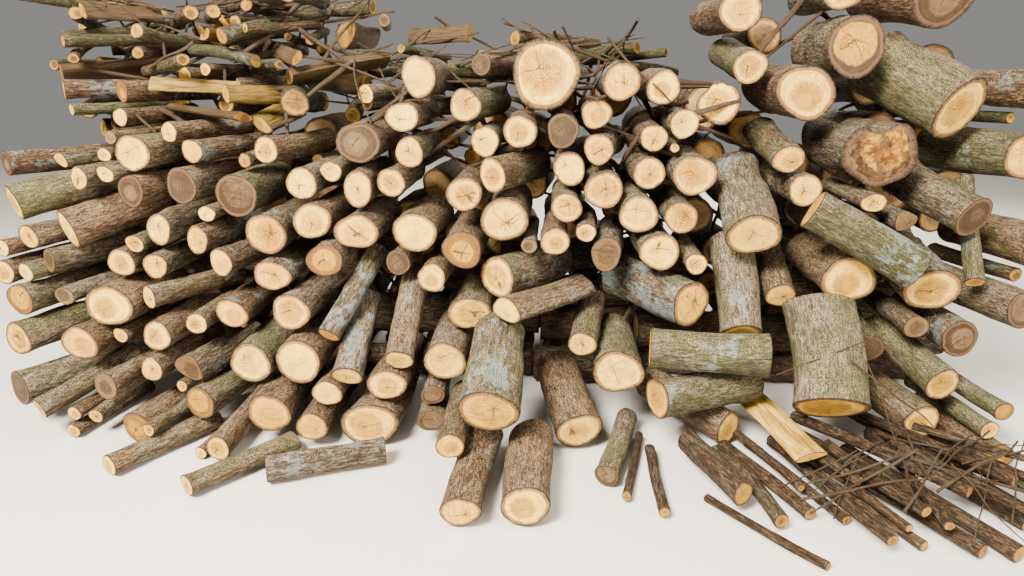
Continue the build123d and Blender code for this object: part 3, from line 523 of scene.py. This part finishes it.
def finishes(kind):
    """The bark and the end finish of one kind of log, made once."""
    ends = bpy.context.scene.firewood_ends
    made = bpy.data.materials.get(kind + "_bark"), bpy.data.materials.get(kind + "_end")
    if all(made):
        return made
    # Bark: moss, lichen, grey, furrows, age. Ends: wood, heart, age, checks, firmness of the heart,
    # and the width of a rotten groove in metres.
    kinds = {
        "pale": ((0.35, 0.12, 0.45, 1.0, 0.1), (ends.pale, ends.golden, 0.15, 1.0, 0.0, 0.0)),
        "mossy": ((0.85, 0.25, 0.55, 1.0, 0.1), (ends.pale, ends.golden, 0.25, 0.8, 0.0, 0.0)),
        "lichened": ((0.60, 1.00, 0.70, 1.1, 0.1), (ends.pale, ends.golden, 0.20, 0.8, 0.0, 0.0)),
        "brown": ((0.35, 0.15, 0.35, 1.1, 0.1), (ends.brown, ends.grey, 0.60, 1.2, 0.0, 0.0)),
        "grey": ((0.35, 0.30, 0.75, 1.0, 0.1), (ends.grey, ends.brown, 0.50, 1.3, 0.0, 0.0)),
        "orange": ((0.30, 0.10, 0.30, 1.2, 0.1), (ends.orange, ends.amber, 0.40, 1.2, 0.6, 0.0)),
        "butt": ((0.30, 0.10, 0.20, 1.6, 0.1), (ends.brown, ends.amber, 0.40, 1.2, 1.0, 0.0)),
        "burr": ((0.25, 0.20, 0.30, 1.8, 0.1), (ends.grey, ends.amber, 0.95, 1.2, 0.8, 0.014)),
        # The rear rank: dull dry ends and bark darkened by an age of 0.8, partly weathering and
        # partly painted shade for the shade behind the face
        "rear": ((0.40, 0.20, 0.50, 1.2, 0.8), (ends.dry, ends.grey, 0.35, 1.2, 0.0, 0.0)),
        "branch": ((0.80, 0.30, 0.55, 0.6, 0.8), (ends.golden, ends.brown, 0.45, 0.6, 0.0, 0.0)),
        "foot": ((0.20, 0.10, 0.35, 0.6, 1.0), (ends.golden, ends.orange, 0.40, 0.6, 0.0, 0.0)),
    }
    bark, end = kinds[kind]
    return bark_finish(kind + "_bark", *bark), end_finish(kind + "_end", *end)


# Shaping the logs of a node

def deselect():
    bpy.ops.object.select_all(action="DESELECT")


def log_copy(node):
    """A new object with the merged shapes of a node's logs, active and alone in the selection."""
    piece = bpy.data.objects.new("dressed_" + node, frame["nodes"][node].data.copy())
    piece.data.materials.clear()
    bpy.context.scene.collection.objects.link(piece)
    deselect()
    bpy.context.view_layer.objects.active = piece
    piece.select_set(True)
    bpy.ops.object.mode_set(mode="EDIT")
    bpy.ops.mesh.select_all(action="SELECT")
    bpy.ops.mesh.remove_doubles(threshold=MERGE_GAP)
    bpy.ops.mesh.dissolve_limited(angle_limit=math.radians(FLAT_ANGLE))
    bpy.ops.object.mode_set(mode="OBJECT")
    return piece


def islands(shape):
    """The logs of a bmesh, each as the list of its vertices."""
    left = set(shape.verts)
    while left:
        start = left.pop()
        island, front = [start], [start]
        while front:
            vert = front.pop()
            for link in vert.link_edges:
                other = link.other_vert(vert)
                if other in left:
                    left.remove(other)
                    island.append(other)
                    front.append(other)
        yield island


def island_place(island):
    """A key that puts the logs of a node in the same order in every run."""
    middle = sum((vert.co for vert in island), Vector())
    return tuple(round(c, 4) for c in middle)


def mark_logs(piece, rng):
    """Gives each log its own frame, number and radius, and tells its ends from its sides.

    Returns each frame as across, up, length and radius, by the log's own number.
    """
    frames = {}
    shape = bmesh.new()
    shape.from_mesh(piece.data)
    place = shape.verts.layers.float_vector.new("place")
    wood = shape.verts.layers.float_vector.new("wood")
    for island in sorted(islands(shape), key=island_place):
        faces = {face for vert in island for face in vert.link_faces}
        caps = sorted(faces, key=lambda face: -len(face.verts))[:2]
        near, far = sorted(caps, key=lambda face: face.calc_center_median().y)
        origin = near.calc_center_median()
        along = (far.calc_center_median() - origin).normalized()
        across = along.cross(Vector((0, 0, 1))).normalized()
        up = across.cross(along)
        radius = sum((vert.co - origin).length for vert in near.verts) / len(near.verts)
        own = round(rng.random(), 5)
        frames[own] = across, up, (far.calc_center_median() - origin).length, radius
        for vert in island:
            off = vert.co - origin
            vert[place] = (off.dot(across), off.dot(up), off.dot(along))
            vert[wood] = (own, 1.0, radius)
        for cap in caps:
            cap.material_index = 1
    shape.to_mesh(piece.data)
    shape.free()
    return frames


def cut_sides(piece, cuts):
    """Cuts every log's sides across, so that they can take the unevenness of a trunk."""
    bpy.ops.object.mode_set(mode="EDIT")
    bpy.ops.mesh.select_mode(type="EDGE")
    shape = bmesh.from_edit_mesh(piece.data)
    for edge in shape.edges:
        edge.select_set(all(face.material_index == 0 for face in edge.link_faces))
    shape.select_flush_mode()
    bmesh.update_edit_mesh(piece.data)
    bpy.ops.mesh.subdivide(number_cuts=cuts, ngon=True)
    bpy.ops.object.mode_set(mode="OBJECT")


def select_ends(piece):
    """Selects the faces that close the logs, and not the strips round them."""
    shape = bmesh.from_edit_mesh(piece.data)
    for face in shape.faces:
        face.select_set(face.material_index == 1 and len(face.verts) > 4)
    bmesh.update_edit_mesh(piece.data)


def ring_ends(piece, width):
    """Insets every end by a width in metres, closes it with a fan, and keeps its rim sharp."""
    bpy.ops.object.mode_set(mode="EDIT")
    bpy.ops.mesh.select_mode(type="FACE")
    select_ends(piece)
    bpy.ops.mesh.inset(thickness=width, use_individual=True, use_boundary=True)
    select_ends(piece)
    bpy.ops.mesh.poke()
    bpy.ops.mesh.select_mode(type="EDGE")
    shape = bmesh.from_edit_mesh(piece.data)
    for edge in shape.edges:
        edge.select_set(len({face.material_index for face in edge.link_faces}) == 2)
    bmesh.update_edit_mesh(piece.data)
    bpy.ops.transform.edge_crease(value=RIM_CREASE)
    bpy.ops.object.mode_set(mode="OBJECT")


def turn_between(angle, other):
    """The turn from one angle to another, from minus half a turn to half a turn."""
    return (angle - other + math.pi) % math.tau - math.pi


def measure_rims(piece):
    """Writes how near each point of an end is to its rim, now that the ends have a ring."""
    shape = bmesh.new()
    shape.from_mesh(piece.data)
    place = shape.verts.layers.float_vector["place"]
    wood = shape.verts.layers.float_vector["wood"]
    for island in islands(shape):
        on_end = {vert: [face.material_index == 1 for face in vert.link_faces] for vert in island}
        corners = []
        for vert in island:
            if any(on_end[vert]) and not all(on_end[vert]):
                x, y, z = vert[place]
                corners.append((math.atan2(y, x), math.hypot(x, y)))
        corners.sort()
        for vert in island:
            if all(on_end[vert]):
                x, y, z = vert[place]
                angle = math.atan2(y, x)
                outer = min(corners, key=lambda c: abs(turn_between(c[0], angle)))[1]
                vert[wood].y = min(1.0, math.hypot(x, y) / outer)
    shape.to_mesh(piece.data)
    shape.free()


def shape_trunks(piece, frames, rng, uneven, crook):
    """Makes each log lumpy, tapered and a little crooked, by drawing its sides in to its axis."""
    trunks = {}
    for own, (across, up, length, radius) in sorted(frames.items()):
        waves = [(count, rng.uniform(0, math.tau), rng.uniform(-MOST_TWIST, MOST_TWIST) / length,
                  size) for count, size in WAVES]
        knots = [(rng.uniform(0, math.tau), rng.uniform(0.1, 0.9) * length)
                 for k in range(rng.randint(0, 3))]
        bow = rng.uniform(-crook, crook) * radius, rng.uniform(-crook, crook) * radius
        taper = rng.uniform(-MOST_TAPER, MOST_TAPER)
        trunks[own] = across, up, length, radius, waves, knots, bow, taper
    mesh = piece.data
    places, woods = mesh.attributes["place"].data, mesh.attributes["wood"].data
    for vert, place, wood in zip(mesh.vertices, places, woods):
        across, up, length, radius, waves, knots, bow, taper = trunks[round(wood.vector[0], 5)]
        x, y, z = place.vector
        angle, reach = math.atan2(y, x), math.hypot(x, y)
        sink = 0.5 + 0.5 * sum(size * math.cos(count * angle + start + twist * z)
                               for count, start, twist, size in waves)
        for knot_angle, knot_place in knots:
            off = turn_between(angle, knot_angle) / KNOT_ANGLE
            far = (z - knot_place) / (KNOT_REACH * radius)
            sink -= KNOT_HEIGHT * math.exp(-off ** 2 - far ** 2)
        thin = z / length if taper > 0 else 1 - z / length
        share = uneven * min(1.0, max(0.0, sink)) + abs(taper) * thin
        arch = math.sin(math.pi * min(1.0, max(0.0, z / length)))
        vert.co += across * (arch * bow[0] - share * x) + up * (arch * bow[1] - share * y)
    mesh.update()


def roughen(piece, name, size, depth):
    """Sinks the bark here and there, and raises it a little, as a trunk's unevenness."""
    texture = bpy.data.textures.new(name, "CLOUDS")
    texture.noise_scale = size
    texture.noise_depth = 1
    modifier = piece.modifiers.new(name, "DISPLACE")
    modifier.texture = texture
    modifier.texture_coords = "LOCAL"
    modifier.strength = depth
    modifier.mid_level = SINK_LEVEL
    modifier.vertex_group = "bark"
    bpy.ops.object.modifier_apply(modifier=modifier.name)


def bark_group(piece):
    """The points that lie on bark, and not on an end or its rim."""
    group = piece.vertex_groups.new(name="bark")
    shape = bmesh.new()
    shape.from_mesh(piece.data)
    indices = [vert.index for vert in shape.verts
               if all(face.material_index == 0 for face in vert.link_faces)]
    shape.free()
    group.add(indices, 1.0, "REPLACE")


def dress(node, kind, slot, cuts=2, levels=2, ring=0.0045, relief=0.004, uneven=0.13, crook=0.06):
    """Dresses one node: merged copy, a ring on its ends, rounded and lumpy sides, bark, finishes.

    ring and relief are lengths in metres; uneven and crook are shares of a log's radius.
    """
    rng = random.Random(node)
    piece = log_copy(node)
    frames = mark_logs(piece, rng)
    cut_sides(piece, cuts)
    ring_ends(piece, ring)
    measure_rims(piece)
    rounding = piece.modifiers.new("rounding", "SUBSURF")
    rounding.levels = rounding.render_levels = levels
    bpy.ops.object.modifier_apply(modifier=rounding.name)
    shape_trunks(piece, frames, rng, uneven, crook)
    bark_group(piece)
    roughen(piece, "trunk", LUMP_SIZE, relief)
    roughen(piece, "knots", DENT_SIZE, relief * 0.5)
    for vert in piece.data.vertices:
        vert.co.z = max(vert.co.z, 0.0)
    bpy.ops.object.shade_smooth_by_angle(angle=math.radians(LOG_EDGE))
    bark, end = finishes(kind)
    piece.data.materials.append(bark)
    piece.data.materials.append(end)
    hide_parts(node)
    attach(piece, "root")
    return piece


def wood_height(trees, x, y, top):
    """The height of the highest wood under a point, or 0 for the floor."""
    hits = (tree.ray_cast(Vector((x, y, top)), Vector((0, 0, -1)))[0] for tree in trees)
    return max((hit.z for hit in hits if hit), default=0.0)


def hold_height(pair):
    """How high a twig's middle lies on two spots, each given as a share of its run and a height."""
    (left, low), (right, high) = pair
    return low + (high - low) * (0.5 - left) / (right - left)


def dropped_twig(trees, rng, middle, length, girth):
    """The points of a thin twig that lies on two logs, one on each side of its middle, or None."""
    turn = rng.uniform(0, math.tau)
    run = Vector((math.cos(turn), math.sin(turn), 0)) * length
    heights = []
    for step in range(TWIG_STEPS + 1):
        spot = middle + run * (step / TWIG_STEPS - 0.5)
        heights.append((step / TWIG_STEPS, wood_height(trees, spot.x, spot.y, middle.z)))
    pairs = ((a, b) for a in heights for b in heights if a[0] <= 0.5 < b[0])
    (left, low), (right, high) = max(pairs, key=hold_height)
    slope = (high - low) / (right - left)
    foot = min(low - slope * left, low + slope * (1 - left))
    if min(low, high) < LOWEST_REST or abs(slope) > TWIG_STEEP * length or foot < 0.0:
        return None
    points = []
    for share in TWIG_SHARES:
        spot = middle + run * (share - 0.5)
        kink = Vector((rng.uniform(-1, 1), rng.uniform(-1, 1), rng.uniform(0, 0.5)))
        height = low + slope * (share - left) + girth
        points.append(Vector((spot.x, spot.y, height)) + kink * (girth + TWIG_KINK * length))
    return points


def wedged_twig(trees, rng, start, outward, girth):
    """The points of a short twig that leaves one log and meets another, or None."""
    way = Vector((rng.uniform(-1, 1), rng.uniform(-1, 1), rng.uniform(-0.6, 0.3))).normalized()
    if way.dot(outward) < LEAST_OUTWARD:
        return None
    hits = [tree.ray_cast(start + way * OFF_BARK, way, LONGEST_STICK) for tree in trees]
    reach = min((hit[3] for hit in hits if hit[0]), default=None)
    if reach is None or reach < SHORTEST_STICK:
        return None
    side = Vector((rng.uniform(-1, 1), rng.uniform(-1, 1), 0)) * girth
    return [start - way * girth, start + way * reach * 0.4 + side, start + way * reach * 0.7 - side,
            start + way * (reach + girth)]


def grow_twigs(name, twigs):
    """One mesh of all the twigs, each a tapered rod round its own points, with closed ends."""
    curve = bpy.data.curves.new(name, "CURVE")
    curve.dimensions = "3D"
    curve.bevel_depth, curve.bevel_resolution, curve.resolution_u = 1.0, 1, 2
    curve.use_fill_caps = True
    for points, girth in twigs:
        spline = curve.splines.new("NURBS")
        spline.points.add(len(points) - 1)
        for k, (point, where) in enumerate(zip(spline.points, points)):
            point.co = (*where, 1.0)
            point.radius = girth * (1.0 - TWIG_TAPER * k / (len(points) - 1))
        spline.order_u, spline.use_endpoint_u = 3, True
    piece = bpy.data.objects.new(name, curve)
    bpy.context.scene.collection.objects.link(piece)
    deselect()
    bpy.context.view_layer.objects.active = piece
    piece.select_set(True)
    bpy.ops.object.convert(target="MESH")
    piece = bpy.context.object
    bpy.ops.object.shade_smooth_by_angle(angle=math.radians(TWIG_EDGE))
    piece.data.materials.append(bpy.data.materials.get("twig_bark") or twig_finish("twig_bark"))
    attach(piece, "root")


def lay_twigs(trees, rng, name, count, low, high, longest, thickest):
    """Lays twigs over the part of the stack between two corners of its plan."""
    twigs = []
    for attempt in range(count * LAY_TRIES):
        if len(twigs) >= count:
            break
        middle = Vector((rng.uniform(low[0], high[0]), rng.uniform(low[1], high[1]), cad_high[2]))
        girth = rng.uniform(THINNEST, 1.0) * thickest
        points = dropped_twig(trees, rng, middle, rng.uniform(SHORTEST, 1.0) * longest, girth)
        if points and all(cad_low[k] < point[k] < cad_high[k]
                          for point in points for k in range(3)):
            twigs.append((points, girth))
    grow_twigs(name, twigs)


def wedge_twigs(trees, rng, name, count, hosts, lowest, deepest, thickest):
    """Wedges twigs between logs, from the bark of the hosts where it's high and near enough."""
    twigs = []
    meshes = [bpy.data.objects["dressed_" + node].data for node in hosts]
    for attempt in range(count * WEDGE_TRIES):
        if len(twigs) >= count:
            break
        mesh = rng.choice(meshes)
        face = mesh.polygons[rng.randrange(len(mesh.polygons))]
        if face.material_index == 1 or face.center.z < lowest or face.center.y > deepest:
            continue
        girth = rng.uniform(THINNEST, 1.0) * thickest
        points = wedged_twig(trees, rng, face.center.copy(), face.normal.copy(), girth)
        if points:
            twigs.append((points, girth))
    grow_twigs(name, twigs)


def nodes_of(start):
    """The names of the frame's nodes that start like this."""
    names = sorted(name for name in frame["nodes"] if name.startswith(start))
    if not names:
        raise RuntimeError("the frame has no node that starts with " + start)
    return names


# One operator for each group of pieces

class PaleLogs(bpy.types.Operator):
    """Dresses the pale-ended logs of the face"""
    bl_idname = "firewood.pale_logs"
    bl_label = "Pale logs"

    def execute(self, context):
        for node in nodes_of("pale_logs") + ["biggest_log", "heart_log"]:
            dress(node, "pale", "pale_ended_log")
        return {"FINISHED"}


class MossyLogs(bpy.types.Operator):
    """Dresses the mossy logs of the face"""
    bl_idname = "firewood.mossy_logs"
    bl_label = "Mossy logs"

    def execute(self, context):
        for node in nodes_of("mossy_logs") + ["slanted_butt"]:
            dress(node, "mossy", "mossy_log")
        return {"FINISHED"}


class LichenedLogs(bpy.types.Operator):
    """Dresses the lichened logs and those that lie crosswise"""
    bl_idname = "firewood.lichened_logs"
    bl_label = "Lichened logs"

    def execute(self, context):
        for node in nodes_of("lichened_logs") + ["crosswise_logs"]:
            dress(node, "lichened", "lichened_log")
        return {"FINISHED"}


class WeatheredLogs(bpy.types.Operator):
    """Dresses the logs whose ends have gone brown or grey"""
    bl_idname = "firewood.weathered_logs"
    bl_label = "Weathered logs"

    def execute(self, context):
        for node in nodes_of("brown_ended_logs"):
            dress(node, "brown", "brown_ended_log")
        dress("grey_ended_logs", "grey", "grey_ended_log")
        return {"FINISHED"}


class OrangeLogs(bpy.types.Operator):
    """Dresses the orange-ended logs, the burr and the orange butt"""
    bl_idname = "firewood.orange_logs"
    bl_label = "Orange logs"

    def execute(self, context):
        for node, kind in (("orange_ended_logs", "orange"), ("orange_butt", "butt")):
            dress(node, kind, "orange_ended_log")
        dress("burr_log", "burr", "orange_ended_log", cuts=3, relief=0.009, uneven=0.20)
        return {"FINISHED"}


class RearLogs(bpy.types.Operator):
    """Dresses the rear rank and the logs between the ranks"""
    bl_idname = "firewood.rear_logs"
    bl_label = "Rear logs"

    def execute(self, context):
        for node in nodes_of("back_rank_logs") + nodes_of("logs_between_ranks"):
            dress(node, "rear", "rear_log", cuts=3, levels=1)
        return {"FINISHED"}


class BranchWood(bpy.types.Operator):
    """Dresses the thin branch wood of the heap and of the foot"""
    bl_idname = "firewood.branch_wood"
    bl_label = "Branch wood"

    def execute(self, context):
        for node in nodes_of("branch_wood") + ["wedge_logs"]:
            dress(node, "branch", "branch_wood", **THIN)
        for node in nodes_of("foot_branches"):
            dress(node, "foot", "branch_wood", **THIN)
        return {"FINISHED"}


class SplitWood(bpy.types.Operator):
    """Dresses the split pieces of the heap and the split plank at the foot"""
    bl_idname = "firewood.split_wood"
    bl_label = "Split wood"

    def execute(self, context):
        for node, weathered in (("split_wood", 1.0), ("split_plank", 0.25)):
            name = node + "_fibres"
            wood = bpy.data.materials.get(name) or split_finish(name, weathered)
            piece = dress(node, "branch", "split_wood", **SPLIT)
            piece.data.materials[0] = wood
            for polygon in piece.data.polygons:
                polygon.use_smooth = polygon.material_index == 0
        return {"FINISHED"}


class Twigs(bpy.types.Operator):
    """Lays thin twigs on the heap and at its foot, and wedges short ones between the logs"""
    bl_idname = "firewood.twigs"
    bl_label = "Twigs"

    def execute(self, context):
        rng = random.Random(TWIG_SEED)
        stage = context.scene.firewood_stage
        depsgraph = context.evaluated_depsgraph_get()
        dressed = [piece for piece in bpy.data.objects if piece.name.startswith("dressed_")]
        trees = [BVHTree.FromObject(piece, depsgraph) for piece in dressed]
        # two corners of the plan of the heap, and of the foot
        heap = (cad_low[0] + 0.12, 0.05), (0.45, 0.60)
        foot = (0.85, cad_low[1] + 0.15), (1.45, -0.30)
        lay_twigs(trees, rng, "heap_twigs", stage.heap_twigs, *heap, longest=0.34, thickest=0.0065)
        lay_twigs(trees, rng, "foot_twigs", stage.foot_twigs, *foot, longest=0.40, thickest=0.0045)
        rear = nodes_of("back_rank_logs")
        high_up = nodes_of("branch_wood") + nodes_of("pale_logs")[-3:] + rear[-2:] + ["split_wood"]
        inside = nodes_of("logs_between_ranks") + rear
        wedge_twigs(trees, rng, "heap_props", stage.props, high_up,
                    lowest=0.85, deepest=cad_high[1], thickest=0.012)
        wedge_twigs(trees, rng, "gap_sticks", stage.gap_sticks, inside,
                    lowest=0.35, deepest=0.50, thickest=0.015)
        return {"FINISHED"}


class Stage(bpy.types.Operator):
    """Adds the floor, the light and the camera"""
    bl_idname = "firewood.stage"
    bl_label = "Stage"

    def execute(self, context):
        stage = context.scene.firewood_stage
        deselect()
        bpy.ops.mesh.primitive_plane_add(size=stage.floor_size, location=(0, 0, FLOOR_LEVEL))
        floor = context.object
        floor.name = "floor"
        bpy.ops.object.transform_apply(location=True, rotation=True, scale=True)
        b = Bench("plain_floor")
        where = b.node("TexCoord").outputs["Object"]
        grain = b.noise(where, 40.0, 3.0)
        tone = b.mix(grain * 0.06, stage.floor, FLOOR_GRAIN)
        floor.data.materials.append(b.finish(tone, 0.85, b.bump(grain, 0.0005), 0.2))
        for name, place, aim, size, power in LAMPS:
            light = bpy.data.lights.new(name, "AREA")
            light.size, light.energy, light.color = size, power, LAMP_COLOUR
            lamp = bpy.data.objects.new(name, light)
            lamp.location = place
            lamp.rotation_euler = (Vector(aim) - Vector(place)).to_track_quat("-Z", "Y").to_euler()
            context.scene.collection.objects.link(lamp)
        world = bpy.data.worlds.new("studio")
        world.use_nodes = True
        sky = world.node_tree.nodes["Background"]
        sky.inputs["Color"].default_value = SKY_COLOUR
        sky.inputs["Strength"].default_value = SKY_STRENGTH
        context.scene.world = world
        eye = bpy.data.cameras.new("eye")
        eye.sensor_width = SENSOR_WIDTH
        eye.lens = SENSOR_WIDTH * FOCAL_PIXELS / IMAGE_WIDTH
        camera = bpy.data.objects.new("eye", eye)
        camera.location = FACE_FOOT + Vector((0.0, -EYE_DISTANCE, EYE_HEIGHT))
        camera.rotation_euler = (math.radians(90 - EYE_PITCH), 0.0, math.radians(EYE_YAW))
        context.scene.collection.objects.link(camera)
        context.scene.camera = camera
        return {"FINISHED"}


OPERATORS = (PaleLogs, MossyLogs, LichenedLogs, WeatheredLogs, OrangeLogs, RearLogs, BranchWood,
             SplitWood, Twigs, Stage)
GROUPS = (("firewood_ends", FirewoodEnds), ("firewood_bark", FirewoodBark),
          ("firewood_stage", FirewoodStage))


class FirewoodPanel(bpy.types.Panel):
    """Buttons that build each group of pieces"""
    bl_idname = "VIEW3D_PT_firewood"
    bl_label = "Firewood"
    bl_space_type = "VIEW_3D"
    bl_region_type = "UI"
    bl_category = "Firewood"

    def draw(self, context):
        for operator in OPERATORS:
            self.layout.operator(operator.bl_idname)


def register():
    for name, group in GROUPS:
        bpy.utils.register_class(group)
        setattr(bpy.types.Scene, name, bpy.props.PointerProperty(type=group))
    for item in (*OPERATORS, FirewoodPanel):
        bpy.utils.register_class(item)


def unregister():
    for item in reversed((*OPERATORS, FirewoodPanel)):
        bpy.utils.unregister_class(item)
    for name, group in reversed(GROUPS):
        delattr(bpy.types.Scene, name)
        bpy.utils.unregister_class(group)


def main():
    register()
    for operator in OPERATORS:
        group, name = operator.bl_idname.split(".")
        getattr(getattr(bpy.ops, group), name)()


if __name__ == "__main__":
    main()
